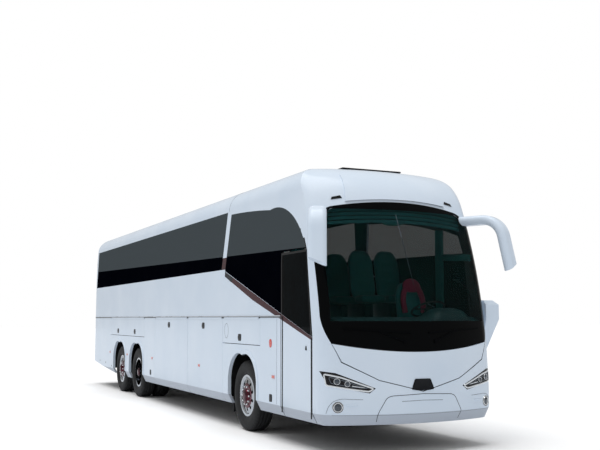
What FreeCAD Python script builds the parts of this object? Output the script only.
import FreeCAD, Part
import Sketcher
import math
import os
import sys
from types import SimpleNamespace

# Three-axle full-size coach bus
# Frame: +X forward, +Y to the bus's left, +Z up, origin on the ground below the middle of the body.
# A station is a place along the bus, counted from the front axle, positive ahead of it.

Vector = FreeCAD.Vector
doc = FreeCAD.newDocument("coach_bus")

# Driving dimensions in millimetres and degrees
DIMENSIONS = [
    # overall form
    ("body_length", 14000), ("body_width", 2550), ("roof_top", 3750), ("front_overhang", 3030),
    ("wheelbase", 6420), ("tag_spacing", 1550),
    ("skirt_bottom", 360), ("crease_height", 500), ("skirt_tuck", 70),
    ("shoulder_height", 2450), ("cant_height", 3400), ("tumblehome", 40),
    ("roof_corner_radius", 310), ("roof_corner_turn", 80), ("overrun", 400),
    # front form
    ("bow_radius", 3100), ("front_corner_radius", 280), ("bumper_tuck", 110), ("nose_setback", 10),
    ("nose_height", 750), ("cowl_setback", 30), ("cowl_height", 1250), ("glass_top_setback", 550),
    ("glass_top_height", 3230), ("glass_sagitta", 80), ("forehead_top_gap", 5), ("inner_ease", 1),
    # rear form
    ("rear_bow_radius", 9000), ("rear_corner_radius", 240), ("rear_belt_height", 1200),
    ("rear_top_setback", 220), ("rear_roof_setback", 560),
    ("rear_rise_station", -8300), ("rear_bottom", 610), ("rear_valance_setback", 90),
    # walls
    ("wall", 45), ("glass", 8), ("glass_land", 28), ("seam", 10), ("door_seam", 22), ("touch_gap", 0.3),
    # side layout
    ("rear_flap_rear", -8870), ("rear_flap_front", -5740), ("bay_rear", -4920), ("bay_split", -2740),
    ("bay_front", -870), ("front_flap_front", 720), ("door_rear", 1478), ("door_front", 2476),
    ("door_head", 2560), ("flap_sill", 1280), ("rail_height", 1690),
    ("band_bottom", 2450), ("band_top", 3370), ("band_rear", -10640),
    ("pillar_top_front", -610), ("pillar_bottom_front", -790), ("pillar_width", 165),
    ("side_glass_peak_station", 1000), ("side_glass_peak", 3215), ("side_glass_rear_top", 3320),
    ("side_glass_nose_station", 2090), ("side_glass_nose", 2960), ("side_glass_front", 2310),
    ("side_glass_front_height", 2550), ("sash_rear_height", 2425), ("sash_front_station", 2450),
    ("sash_front_height", 1450), ("sash_rear_station", -770),
    # wheel arches and the trim on the sides
    ("arch_top", 1125), ("arch_half_width", 590), ("arch_shoulder_height", 760),
    ("lip_width", 60), ("lip_proud", 9), ("trim_root", 12),
    ("handle_length", 130), ("handle_height", 42), ("handle_proud", 6), ("flap_handle_z", 1385),
    ("door_handle_z", 1550), ("handle_a", -8130), ("handle_b", -6570), ("handle_c", -3930),
    ("handle_d", -1860), ("handle_e", -110),
    # windshield
    ("screen_half_width", 1240), ("screen_corner_height", 1370), ("screen_side_height", 1700),
    ("screen_sill", 1262), ("screen_top", 3214), ("screen_shoulder_height", 2760), ("screen_top_corner", 3130),
    ("screen_top_half_width", 960),
    # front mask openings
    ("flap_tip", 760), ("flap_shoulder_height", 1130), ("flap_shoulder_half_width", 1050),
    ("flap_knee_height", 905), ("flap_knee_half_width", 590),
    ("centre_top", 720), ("centre_top_half_width", 630), ("centre_mid_half_width", 840),
    ("centre_mid_height", 510),
    ("headlamp_tip_y", 640), ("headlamp_tip_z", 815), ("headlamp_low_y", 720), ("headlamp_low_z", 755),
    ("headlamp_out_low_y", 1205), ("headlamp_out_low_z", 850), ("headlamp_out_y", 1262),
    ("headlamp_out_z", 1025), ("headlamp_top_y", 1120), ("headlamp_top_z", 1005), ("headlamp_depth", 150),
    ("fog_y", 1096), ("fog_z", 590), ("fog_radius", 64),
    # brow above the windshield, roof hatch and aerial fin
    ("brow_proud", 24), ("brow_low", 3202), ("brow_low_middle", 3247), ("brow_half_width", 765),
    ("brow_top", 3600), ("brow_top_half_width", 690),
    ("hatch_rear", 1050), ("hatch_front", 1770), ("hatch_half_width", 470), ("hatch_top", 3770),
    ("hatch_lid", 20), ("hatch_edge", 25),
    ("fin_rear", 1835), ("fin_front", 2010), ("fin_top", 3742), ("fin_y", 90), ("fin_thickness", 22),
    # wipers, parked low on the windshield
    ("wiper_depth", 14), ("wiper_blade", 20), ("wiper_arm", 26), ("wiper_pivot_radius", 26),
    ("wiper_pivot_y", 230), ("wiper_pivot_z", 1385), ("wiper_inner_y", 130), ("wiper_inner_z", 1492),
    ("wiper_outer_y", 1010), ("wiper_outer_z", 1545),
    # wheels
    ("tyre_radius", 520), ("tyre_width", 298), ("rim_radius", 290), ("rim_width", 230),
    ("rim_wall", 14), ("tyre_shoulder", 45), ("tyre_sidewall_bulge", 20), ("bead_width", 36),
    ("front_tyre_y", 1075), ("outer_tyre_y", 1092), ("twin_spacing", 336), ("tag_tyre_y", 1080),
    ("disc_thickness", 16), ("hub_radius", 110), ("hub_length", 130),
    ("spindle_radius", 42), ("bearing_clearance", 0.05), ("hand_hole_radius", 26),
    ("hand_hole_circle", 205), ("hand_holes", 10),
    # axles and steering
    ("kingpin_y", 870), ("kingpin_radius", 24),
    ("beam_width", 100), ("knuckle_gap", 6), ("knuckle_lug", 45),
    ("axle_tube_radius", 75), ("diff_radius", 190), ("diff_length", 360),
    # floor and structure
    ("deck_height", 1600), ("deck_thickness", 50), ("deck_front", 1150), ("platform_height", 1050),
    ("platform_front", 2545), ("aisle_edge", 430), ("hold_floor", 500), ("hold_floor_thickness", 60),
    ("bulkhead", 30), ("house_half_length", 690), ("house_inner", 470), ("house_top", 1190),
    ("house_wall", 6), ("rear_house_inner", 500), ("axle_travel", 60),
    ("frame_spacing", 760), ("frame_rail_width", 70), ("frame_rail_height", 180), ("frame_rail_bottom", 720),
    ("step_count", 3), ("step_run", 210), ("step_bottom", 385), ("step_thickness", 24),
    ("frame_front", 2600), ("frame_rear_gap", 330), ("crossmember_width", 90), ("tow_pin_radius", 20),
    ("jack_front_station", 930), ("jack_rear_station", -5270), ("jack_pad", 120), ("jack_pad_depth", 20),
    ("bellows_radius", 85),
    ("mudflap_width", 420), ("mudflap_height", 420), ("mudflap_thickness", 8), ("mudflap_bottom", 215),
    # engine
    ("engine_length", 1350), ("engine_height", 950), ("engine_bottom", 520), ("engine_rear_gap", 420),
    ("lid_top", 1690), ("lid_bottom", 690), ("lid_half_width", 860),
    ("rear_glass_bottom", 2480), ("rear_glass_top", 3230), ("rear_glass_half_width", 900),
    ("rear_lamp_bottom", 900), ("rear_lamp_top", 1850), ("rear_lamp_width", 190),
    ("rear_rail_half", 600), ("marker_length", 90), ("marker_height", 40), ("marker_proud", 6), ("marker_z", 850),
    ("roof_lamp_y", 868), ("roof_lamp_z", 3252), ("roof_lamp_length", 150), ("roof_lamp_height", 38),
    ("roof_lamp_drop", 24), ("rim_flange", 18), ("flange_width", 12), ("disc_bulge", 22),
    ("hub_out", 150), ("twin_disc", 10), ("beam_clear", 10), ("yoke_plate", 24),
    ("seat_base", 60), ("crown_angle", 84), ("rear_lamp_inset", 40),
    # hinges
    ("rail_depth", 30), ("rail_proud", 9), ("rail_below", 8), ("rail_above", 24), ("bead_radius", 5),
    ("bead_proud", 2), ("bead_clearance", 0.1), ("neck_thickness", 3), ("neck_room", 1),
    ("neck_foot", 16), ("neck_gap", 18), ("neck_sink", 2), ("rail_end", 60),
    # entrance door mechanism
    ("post_station", 2395), ("post_inset", 150), ("post_radius", 22), ("door_arm_length", 560),
    ("door_arm_low", 800), ("door_arm_high", 1300), ("arm_thickness", 30), ("arm_height", 60),
    ("door_pin_radius", 12), ("door_lug", 30), ("post_foot", 40),
    ("bracket_low", 600), ("bracket_high", 2380), ("bracket_thickness", 20), ("bracket_edge", 16),
    ("bracket_low_front", 2560), ("bracket_high_front", 2420), ("pin_clearance", 0.05), ("moving_gap", 5),
    # service flap and its lifting arms
    ("bulkhead_station", 2600), ("bulkhead_bottom", 400), ("bulkhead_half", 1130), ("bulkhead_plate", 12),
    ("lift_pivot_station", 2750), ("lift_pivot_height", 1130), ("lift_arm_length", 250), ("lift_arm_lean", 7),
    ("lift_arm_y", 300), ("lift_arm_thickness", 16), ("lift_eye_radius", 22), ("lift_pin_radius", 8),
    ("lift_lug_thickness", 10), ("lift_tube_radius", 11),
    # mirrors
    ("mirror_root_station", 2240), ("mirror_root_y", 1080), ("mirror_crest", 3020), ("mirror_bend", 300),
    ("mirror_lean", 12), ("mirror_reach_station", 2895), ("mirror_reach_y", 1407), ("mirror_bottom", 2340),
    ("mirror_slope", 120), ("mirror_width", 235), ("mirror_depth", 130),
    ("low_mirror_rear", 2330), ("low_mirror_front", 2630), ("low_mirror_bottom", 1240),
    ("low_mirror_top", 1920), ("low_mirror_reach", 215), ("low_mirror_round", 60),
    # louvres of the engine lid
    ("louvre_count", 7), ("louvre_low", 880), ("louvre_pitch", 82), ("louvre_height", 34),
    ("louvre_half_width", 600), ("louvre_rise", 60),
    # inside
    ("seat_pitch", 840), ("seat_first", 700), ("seat_rows", 14), ("seat_width", 460), ("seat_depth", 430),
    ("seat_height", 420), ("seat_back", 720), ("seat_thickness", 110), ("seat_gap", 20), ("seat_wall_gap", 20),
    ("seat_rake", 140), ("driver_seat_station", 1950), ("driver_seat_y", 620), ("dash_rear", 2430),
    ("dash_top", 1500), ("dash_shelf", 1300), ("dash_under", 1200), ("dash_back_station", 2760),
    ("dash_toe_station", 2500), ("dash_clear", 12),
    ("steering_station", 2200), ("steering_height", 1800), ("steering_tilt", 25), ("steering_radius", 230),
    ("steering_grip", 15), ("steering_hub_radius", 55), ("steering_hub_height", 40), ("column_radius", 26),
    ("column_length", 760), ("spoke_radius", 9), ("grip_sides", 8),
    # panes of the side window band, as stations of their joints
    ("pane_joint_a", -8500), ("pane_joint_b", -6900), ("pane_joint_c", -5100), ("pane_joint_d", -2700),
    # side marker lamps
    ("marker_a", -8950), ("marker_b", -7220), ("marker_c", -5120), ("marker_d", 1210), ("marker_door", -2070),
]


class Measure:
    """A length that keeps its value and the sheet expression that gives it."""

    def __init__(self, value, text):
        self.value = float(value)
        self.text = text

    @staticmethod
    def of(other):
        return other if isinstance(other, Measure) else Measure(other, repr(other))

    def join(self, other, sign, value):
        return Measure(value, f"({self.text} {sign} {other.text})")

    def __add__(self, other):
        other = Measure.of(other)
        return self.join(other, "+", self.value + other.value)

    def __radd__(self, other):
        return Measure.of(other) + self

    def __sub__(self, other):
        other = Measure.of(other)
        return self.join(other, "-", self.value - other.value)

    def __rsub__(self, other):
        return Measure.of(other) - self

    def __mul__(self, other):
        other = Measure.of(other)
        return self.join(other, "*", self.value * other.value)

    def __rmul__(self, other):
        return Measure.of(other) * self

    def __truediv__(self, other):
        other = Measure.of(other)
        return self.join(other, "/", self.value / other.value)

    def __neg__(self):
        return Measure(-self.value, f"(-{self.text})")

    def __float__(self):
        return self.value


def fill_sheet():
    """Writes the driving dimensions into the sheet and hands them back by name."""
    sheet = doc.addObject("Spreadsheet::Sheet", "Sizes")
    for row, (alias, value) in enumerate(DIMENSIONS, start=1):
        sheet.set(f"A{row}", alias)
        sheet.set(f"B{row}", str(value))
        sheet.setAlias(f"B{row}", alias)
    doc.recompute()
    return SimpleNamespace(**{alias: Measure(sheet.get(alias), f"Sizes.{alias}") for alias, _ in DIMENSIONS})


S = fill_sheet()

# Places that follow from the driving dimensions
front_axle = S.body_length / 2 - S.front_overhang
drive_axle = front_axle - S.wheelbase
tag_axle = drive_axle - S.tag_spacing
half_width = S.body_width / 2
nose = front_axle + S.front_overhang
tail = nose - S.body_length
hub_height = S.tyre_radius
inner_face = half_width - S.wall

half_share = 0.5
arc_share = 0.35
shoulder_share = 0.74
crown_share = 0.24
crown_rise_share = 0.72
screen_turn_share = 0.33
low_mirror_shoulder_share = 0.62
low_mirror_foot_share = 0.36
RIGHT, LEFT = -1, 1
SIDE_NAMES = {RIGHT: "right", LEFT: "left"}
sub_parts = {}


def station(distance):
    """Place along X of a distance counted from the front axle."""
    return front_axle + distance


def point(x, y, z):
    return Vector(float(x), float(y), float(z))


def keep(node, thing):
    """Registers a finished document object as the sub-part of that name."""
    thing.Label = node
    sub_parts[node] = thing
    return thing


def feature(node, shape):
    """A sub-part whose shape is set directly, for the double-curved shell pieces."""
    thing = doc.addObject("Part::Feature", node)
    thing.Shape = shape
    thing.Placement = FreeCAD.Placement()
    return keep(node, thing)


# Plain solids and outlines

def box(x0, x1, y0, y1, z0, z1):
    low = point(min(float(x0), float(x1)), min(float(y0), float(y1)), min(float(z0), float(z1)))
    return Part.makeBox(abs(float(x1) - float(x0)), abs(float(y1) - float(y0)), abs(float(z1) - float(z0)), low)


def rod(centre, direction, radius, length):
    return Part.makeCylinder(float(radius), float(length), centre, direction)


def side_prism(corners, y0, y1):
    """Outline in the XZ plane carried from y0 to y1. A corner of three values is the middle of an arc."""
    return outline_face(corners, lambda a, b: point(a, y0, b)).extrude(point(0, float(y1) - float(y0), 0))


def front_prism(corners, x0, x1):
    """Outline in the YZ plane carried from x0 to x1."""
    return outline_face(corners, lambda a, b: point(x0, a, b)).extrude(point(float(x1) - float(x0), 0, 0))


def outline_face(corners, place):
    """A flat face from corners (a, b); ('arc', a, b) marks the middle point of an arc between its neighbours."""
    edges = []
    count = len(corners)
    index = 0
    while index < count:
        start = corners[index]
        following = corners[(index + 1) % count]
        if following[0] == "arc":
            end = corners[(index + 2) % count]
            edges.append(Part.Arc(place(*start), place(*following[1:]), place(*end)).toShape())
            index += 2
        else:
            edges.append(Part.LineSegment(place(*start), place(*following)).toShape())
            index += 1
    return Part.Face(Part.Wire(Part.sortEdges(edges)[0]))


def solid_of(shape):
    """The shape as one solid, or a compound where it has several."""
    solids = shape.Solids
    return solids[0] if len(solids) == 1 else Part.makeCompound(solids)


# The body's outer form, drawn inwards by an inset

def cross_section(inset):
    """Section in YZ: tucked skirt, upright side, tumblehome, roof corner arcs and a crowned roof."""
    half = float(half_width) - inset
    skirt = float(S.skirt_bottom) - (float(S.overrun) if inset else 0)
    cant = float(S.cant_height)
    cant_half = half - float(S.tumblehome)
    radius = float(S.roof_corner_radius) - inset
    turn = math.radians(float(S.roof_corner_turn))
    centre = (cant_half - radius, cant)

    def on_corner(share):
        angle = turn * share
        return centre[0] + radius * math.cos(angle), centre[1] + radius * math.sin(angle)

    right = [(half - float(S.skirt_tuck), skirt), (half - float(S.skirt_tuck), float(S.skirt_bottom)),
             (half, float(S.crease_height)), (half, float(S.shoulder_height)), (cant_half, cant)]
    if not inset:
        right = right[1:]
    crown_start = on_corner(1)
    middle = on_corner(half_share)
    corners = [(-a, b) for a, b in right]
    corners += [("arc", -middle[0], middle[1]), (-crown_start[0], crown_start[1])]
    corners += [("arc", 0, float(S.roof_top) - inset), crown_start]
    corners += [("arc", *middle)] + [pair for pair in reversed(right)]
    return front_prism(corners, tail - S.overrun, nose + S.overrun)


def arc_middle(start, end, sagitta):
    """Middle point of an arc over a chord, standing off by the sagitta to the front and top."""
    chord = (end[0] - start[0], end[1] - start[1])
    length = math.hypot(*chord)
    return ((start[0] + end[0]) / 2 + chord[1] / length * sagitta,
            (start[1] + end[1]) / 2 - chord[0] / length * sagitta)


def circle_of(start, middle, end):
    circle = Part.Circle(*[Vector(a, 0, b) for a, b in (start, middle, end)])
    return circle.Center, circle.Radius


def nose_profile(inset):
    """Centre line of the front in XZ: bumper, nose, cowl, windshield arc and forehead arc up to the roof."""
    x = float(nose)
    cowl = (x - float(S.cowl_setback), float(S.cowl_height))
    glass_top = (x - float(S.glass_top_setback), float(S.glass_top_height))
    glass_middle = arc_middle(cowl, glass_top, float(S.glass_sagitta))
    glass_centre, glass_radius = circle_of(cowl, glass_middle, glass_top)
    lean = math.atan2(glass_top[1] - glass_centre.z, glass_top[0] - glass_centre.x)
    top = float(S.roof_top) - float(S.forehead_top_gap)
    rise = top - glass_top[1]
    # the forehead starts along the glass and ends nearly level
    end_angle = math.radians(float(S.crown_angle))
    radius = rise / (math.sin(end_angle) - math.sin(lean))
    centre = (glass_top[0] - radius * math.cos(lean), glass_top[1] - radius * math.sin(lean))

    def forehead(angle):
        return centre[0] + radius * math.cos(angle), centre[1] + radius * math.sin(angle), angle

    def glass(angle):
        return (glass_centre.x + glass_radius * math.cos(angle),
                glass_centre.z + glass_radius * math.sin(angle), angle)

    cowl_angle = math.atan2(cowl[1] - glass_centre.z, cowl[0] - glass_centre.x)

    def moved(a, b, angle):
        # the plan outline already steps in by the inset along X
        return a + inset * (1 - math.cos(angle)), b - inset * math.sin(angle)

    bottom = float(S.skirt_bottom)
    points = [(x - float(S.bumper_tuck), bottom), (x - float(S.nose_setback), float(S.crease_height)),
              (x, float(S.nose_height)), moved(*glass(cowl_angle))]
    arcs = [[moved(*glass(cowl_angle)), moved(*glass((cowl_angle + lean) / 2)), moved(*glass(lean))],
            [moved(*forehead(lean)), moved(*forehead((lean + end_angle) / 2)), moved(*forehead(end_angle))]]
    if inset:
        points.insert(0, (points[0][0], bottom - float(S.overrun)))
    return points, arcs


def plan_outline(inset, height, shift):
    """Closed plan outline at a height: bowed front, round front corners, straight sides to past the tail."""
    bow = float(S.bow_radius) - inset
    corner = float(S.front_corner_radius) - inset
    # inside, the corner crosses the side wall instead of running out along it
    half = float(half_width) - inset + (float(S.inner_ease) if inset else 0)
    back = -float(S.body_length) - float(S.overrun)
    corner_y = half - corner
    bow_centre = -float(S.bow_radius)
    corner_x = bow_centre + math.sqrt((bow - corner) ** 2 - corner_y ** 2)
    spread = math.atan2(corner_y, corner_x - bow_centre)

    def place(a, b):
        return Vector(shift + a, b, height)

    def on_corner(angle, side):
        return corner_x + corner * math.cos(angle), side * (corner_y + corner * math.sin(angle))

    meet = (bow_centre + bow * math.cos(spread), bow * math.sin(spread))
    middle = on_corner((spread + math.pi / 2) / 2, 1)
    start = (corner_x, half)
    edges = [Part.LineSegment(place(back, half), place(*start)).toShape(),
             Part.Arc(place(*start), place(*middle), place(*meet)).toShape(),
             Part.Arc(place(*meet), place(bow_centre + bow, 0), place(meet[0], -meet[1])).toShape(),
             Part.Arc(place(meet[0], -meet[1]), place(middle[0], -middle[1]), place(start[0], -start[1])).toShape(),
             Part.LineSegment(place(start[0], -start[1]), place(back, -half)).toShape(),
             Part.LineSegment(place(back, -half), place(back, half)).toShape()]
    return Part.Wire(edges)


def nose_block(inset):
    """The plan outline swept, unturned, along the centre line of the front."""
    points, arcs = nose_profile(inset)
    edges = [Part.LineSegment(Vector(a[0], 0, a[1]), Vector(b[0], 0, b[1])).toShape()
             for a, b in zip(points, points[1:])]
    edges += [Part.Arc(*[Vector(a, 0, b) for a, b in arc]).toShape() for arc in arcs]
    sweep = Part.BRepOffsetAPI.MakePipeShell(Part.Wire(edges))
    sweep.setTrihedronMode(Vector(0, 0, 0), Vector(0, 0, 1))
    sweep.setTransitionMode(1)
    sweep.add(plan_outline(inset, points[0][1], points[0][0]), False, False)
    sweep.build()
    sweep.makeSolid()
    return sweep.shape()


def tail_block(inset):
    """Everything ahead of the tail: its side profile and its plan outline with round corners."""
    back = float(tail) + inset
    lower = 0 if inset else float(S.rear_bottom)
    front = nose + S.overrun
    top = S.roof_top + S.overrun
    knee = float(S.cant_height)
    lean = float(S.rear_top_setback)
    roof_back = float(S.rear_roof_setback)
    profile = side_prism([(front, 0), (front, top), (back + roof_back + float(S.overrun), top),
                          (back + roof_back, float(S.roof_top)),
                          ("arc", back + lean + (roof_back - lean) * arc_share,
                           knee + (float(S.roof_top) - knee) * (1 - arc_share)),
                          (back + lean, knee), (back, float(S.rear_belt_height)),
                          (back + float(S.rear_valance_setback), lower)] +
                         ([] if inset else [(station(S.rear_rise_station), S.skirt_bottom),
                                            (station(S.rear_rise_station), 0)]),
                         -half_width - S.overrun, half_width + S.overrun)
    half = float(half_width) - inset
    corner = float(S.rear_corner_radius) - inset
    bow = float(S.rear_bow_radius) - inset
    corner_y = half - corner
    corner_x = bow - math.sqrt((bow - corner) ** 2 - corner_y ** 2)
    spread = math.atan2(corner_y, bow - corner_x)
    meet = (bow - bow * math.cos(spread), bow * math.sin(spread))
    turn = (spread + math.pi / 2) / 2
    middle = (corner_x - corner * math.cos(turn), corner_y + corner * math.sin(turn))
    outline = [(back + corner_x, half), ("arc", back + middle[0], middle[1]), (back + meet[0], meet[1]),
               ("arc", back, 0), (back + meet[0], -meet[1]), ("arc", back + middle[0], -middle[1]),
               (back + corner_x, -half), (float(front), -half), (float(front), half)]
    plan = outline_face(outline, lambda a, b: Vector(a, b, 0)).extrude(Vector(0, 0, float(top)))
    return profile.common(plan)


def body_form(inset):
    return solid_of(cross_section(inset).common(nose_block(inset)).common(tail_block(inset)))


full_form = body_form(0)
skin = full_form.cut(body_form(float(S.glass)))
wall_shell = full_form.cut(body_form(float(S.wall)))

low = -S.overrun
high = S.roof_top + S.overrun
far = half_width + S.overrun
rear_post = tail + S.rear_corner_radius + S.wall


def across(side, depth=None):
    """The two Y limits of a prism that reaches through one side wall."""
    return side * (half_width - (S.overrun if depth is None else depth)), side * far


# Outlines on the side, as (station place, height) corners

def front_line():
    """Edge between the side wall and the front mask, from the ground to the roof cap."""
    return [(station(S.door_front), low), (station(S.door_front), S.sash_front_height),
            (station(S.side_glass_front), S.side_glass_front_height),
            (station(S.side_glass_nose_station), S.side_glass_nose)]


def cap_line():
    """Lower edge of the front roof cap, from its seam forwards to past the nose."""
    return [(station(S.pillar_top_front), S.cant_height),
            (station(S.side_glass_peak_station), S.cant_height),
            (station(S.side_glass_nose_station), S.side_glass_nose), (nose + S.overrun, S.side_glass_nose)]


def side_region():
    return ([(rear_post, low)] + front_line() +
            [(station(S.side_glass_peak_station), S.cant_height), (rear_post, S.cant_height)])


def front_glass_outline():
    """The quarter glass beside the driver: arched top, sloping sash below."""
    return [(station(S.pillar_bottom_front), S.sash_rear_height),
            (station(S.pillar_top_front), S.side_glass_rear_top),
            ("arc", station(S.side_glass_peak_station) * half_share + station(S.pillar_top_front) * half_share,
             S.side_glass_peak * half_share + S.side_glass_rear_top * half_share + S.glass_land / 2),
            (station(S.side_glass_peak_station), S.side_glass_peak),
            ("arc", station(S.side_glass_nose_station) - S.glass_land * 4, S.side_glass_nose - S.glass_land),
            (station(S.side_glass_front) - S.glass_land, S.side_glass_front_height),
            (station(S.sash_front_station) - S.glass_land, S.sash_front_height)]


def door_outline(grow):
    """The entrance door, or its opening when grown by the seam."""
    grow = Measure.of(grow)
    front = -S.door_seam + grow
    return [(station(S.door_rear) - grow, low), (station(S.door_rear) - grow, S.door_head + grow),
            (station(S.side_glass_front) + front, S.door_head + grow),
            (station(S.door_front) + front, S.sash_front_height), (station(S.door_front) + front, low)]


def arch_outline(centre, low_edge, grow=0):
    """Wheel arch: upright legs, round shoulders and a flat crown."""
    half = S.arch_half_width + grow
    top = S.arch_top + grow
    shoulder = top - (top - S.arch_shoulder_height) * crown_share
    return [(centre - half, low_edge), (centre - half, S.arch_shoulder_height),
            ("arc", centre - half * shoulder_share, shoulder), (centre, top),
            ("arc", centre + half * shoulder_share, shoulder),
            (centre + half, S.arch_shoulder_height), (centre + half, low_edge)]


def arch_lip(centre, side):
    """Raised lip round one wheel arch, down to the body's crease."""
    ring = side_prism(arch_outline(centre, S.crease_height, S.lip_width), side * (half_width - S.trim_root),
                      side * (half_width + S.lip_proud))
    return ring.cut(side_prism(arch_outline(centre, low), *across(side)))


def rectangle(x0, x1, z0, z1):
    return [(x0, z0), (x1, z0), (x1, z1), (x0, z1)]


hinge_edge = S.rail_height - S.rail_below

LID_OPENINGS = {
    "luggage_door_rear": (S.bay_rear, S.bay_split, low),
    "luggage_door_front": (S.bay_split, S.bay_front, low),
    "wheel_flap_rear": (S.rear_flap_rear, S.rear_flap_front, S.flap_sill),
    "wheel_flap_front": (S.bay_front, S.front_flap_front, S.flap_sill),
}


def lid_outline(name, shrink):
    rear, front, sill = LID_OPENINGS[name]
    return rectangle(station(rear) + shrink, station(front) - shrink, sill + shrink, hinge_edge - shrink)


def band_outline():
    return [(station(S.band_rear), S.band_bottom), (station(S.pillar_bottom_front) - S.pillar_width, S.band_bottom),
            (station(S.pillar_top_front) - S.pillar_width, S.band_top), (station(S.band_rear), S.band_top)]


def make_side(side):
    """One side wall with its openings cut, the skirts below its crease, and the panes bonded into it."""
    wall = wall_shell.common(side_prism(side_region(), *across(side)))
    y_limits = across(side)
    for name in LID_OPENINGS:
        wall = wall.cut(side_prism(lid_outline(name, 0), *y_limits))
    for centre in (front_axle, drive_axle, tag_axle):
        wall = wall.cut(side_prism(arch_outline(centre, low), *y_limits))
    rail_room = box(rear_post, station(S.door_rear), side * (half_width - S.rail_depth), side * far,
                    hinge_edge, S.rail_height + S.rail_above)
    wall = wall.cut(rail_room)
    band = side_prism(band_outline(), *y_limits)
    quarter = side_prism(front_glass_outline(), *y_limits)
    if side == RIGHT:
        doorway = rectangle(station(S.door_rear) - S.door_seam, nose, low, S.door_head + S.door_seam)
        quarter = quarter.cut(side_prism(doorway, *y_limits))
        wall = wall.cut(side_prism(doorway, *y_limits))
    panes = [skin.common(band), skin.common(quarter)]
    wall = wall.cut(skin.common(band)).cut(skin.common(quarter))
    for shape in (band_apertures(side), quarter_aperture(side)):
        wall = wall.cut(shape)
    for centre in (front_axle, drive_axle, tag_axle):
        wall = wall.fuse(arch_lip(centre, side))
    below = box(tail, nose, -far, far, low, S.crease_height)
    return solid_of(wall.cut(below)), wall.common(below), [solid for pane in panes for solid in pane.Solids]


def band_apertures(side):
    """Openings behind the window band, between the upright posts."""
    places = [S.band_rear, S.pane_joint_a, S.pane_joint_b, S.pane_joint_c, S.pane_joint_d,
              S.pillar_bottom_front - S.pillar_width]
    cuts = []
    for rear, front in zip(places, places[1:]):
        outline = rectangle(station(rear) + S.glass_land * 2, station(front) - S.glass_land * 2,
                            S.band_bottom + S.glass_land, S.band_top - S.glass_land)
        cuts.append(side_prism(outline, *across(side)))
    return Part.makeCompound(cuts)


def quarter_aperture(side):
    land = S.glass_land * 2
    corners = [(station(S.pillar_bottom_front) + land * 2, S.sash_rear_height + land / 2),
               (station(S.pillar_top_front) + land, S.side_glass_rear_top - land),
               (station(S.side_glass_peak_station), S.side_glass_peak - land),
               (station(S.side_glass_front) - land * 4, S.side_glass_nose - land * 2),
               (station(S.side_glass_front) - land * 2, S.side_glass_front_height),
               (station(S.sash_front_station) - land * 2, S.sash_front_height + land * 2)]
    shape = side_prism(corners, *across(side))
    if side == RIGHT:
        shape = shape.cut(side_prism(door_outline(S.door_seam + land), *across(side)))
    return shape


# Front mask, windshield and roof

def screen_outline(inset):
    """Windshield in YZ: bowed sill, upright sides on the corners, rounded upper corners, bowed top."""
    inset = Measure.of(inset)
    side = S.screen_half_width - inset
    corner = side - S.glass_land * 3
    top_half = S.screen_top_half_width - inset
    return [(-corner, S.screen_corner_height + inset), ("arc", 0, S.screen_sill + inset),
            (corner, S.screen_corner_height + inset),
            ("arc", corner + (side - corner) * crown_rise_share, S.screen_side_height * half_share
             + S.screen_corner_height * half_share),
            (side, S.screen_side_height), (side, S.screen_shoulder_height),
            ("arc", side - (side - top_half) * screen_turn_share,
             S.screen_top_corner - inset - (S.screen_top_corner - S.screen_shoulder_height) * screen_turn_share),
            (top_half, S.screen_top_corner - inset), ("arc", 0, S.screen_top - inset),
            (-top_half, S.screen_top_corner - inset),
            ("arc", (side - top_half) * screen_turn_share - side,
             S.screen_top_corner - inset - (S.screen_top_corner - S.screen_shoulder_height) * screen_turn_share),
            (-side, S.screen_shoulder_height), (-side, S.screen_side_height),
            ("arc", -(corner + (side - corner) * crown_rise_share), S.screen_side_height * half_share
             + S.screen_corner_height * half_share)]


def flap_outline(shrink):
    """The service flap below the windshield: bowed top edge and a V-shaped lower edge."""
    side = S.screen_half_width - S.glass_land * 3 - shrink
    return [(-side, S.screen_corner_height - shrink),
            (-S.flap_shoulder_half_width + shrink, S.flap_shoulder_height + shrink),
            (-S.flap_knee_half_width, S.flap_knee_height + shrink), (0, S.flap_tip + shrink),
            (S.flap_knee_half_width, S.flap_knee_height + shrink),
            (S.flap_shoulder_half_width - shrink, S.flap_shoulder_height + shrink),
            (side, S.screen_corner_height - shrink), ("arc", 0, S.screen_sill - shrink)]


def centre_outline(shrink):
    """The middle piece of the bumper."""
    return [(-S.centre_mid_half_width + shrink, low), (-S.centre_mid_half_width + shrink, S.centre_mid_height),
            (-S.centre_top_half_width + shrink, S.centre_top - shrink),
            (S.centre_top_half_width - shrink, S.centre_top - shrink),
            (S.centre_mid_half_width - shrink, S.centre_mid_height), (S.centre_mid_half_width - shrink, low)]


def headlamp_outline(side):
    """Wedge headlamp: long low tip towards the middle, tall end round the corner."""
    return [(side * S.headlamp_tip_y, S.headlamp_tip_z), (side * S.headlamp_low_y, S.headlamp_low_z),
            (side * S.headlamp_out_low_y, S.headlamp_out_low_z), (side * S.headlamp_out_y, S.headlamp_out_z),
            (side * S.headlamp_top_y, S.headlamp_top_z)]


def ahead(corners):
    return front_prism(corners, front_axle, nose + S.overrun)


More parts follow.
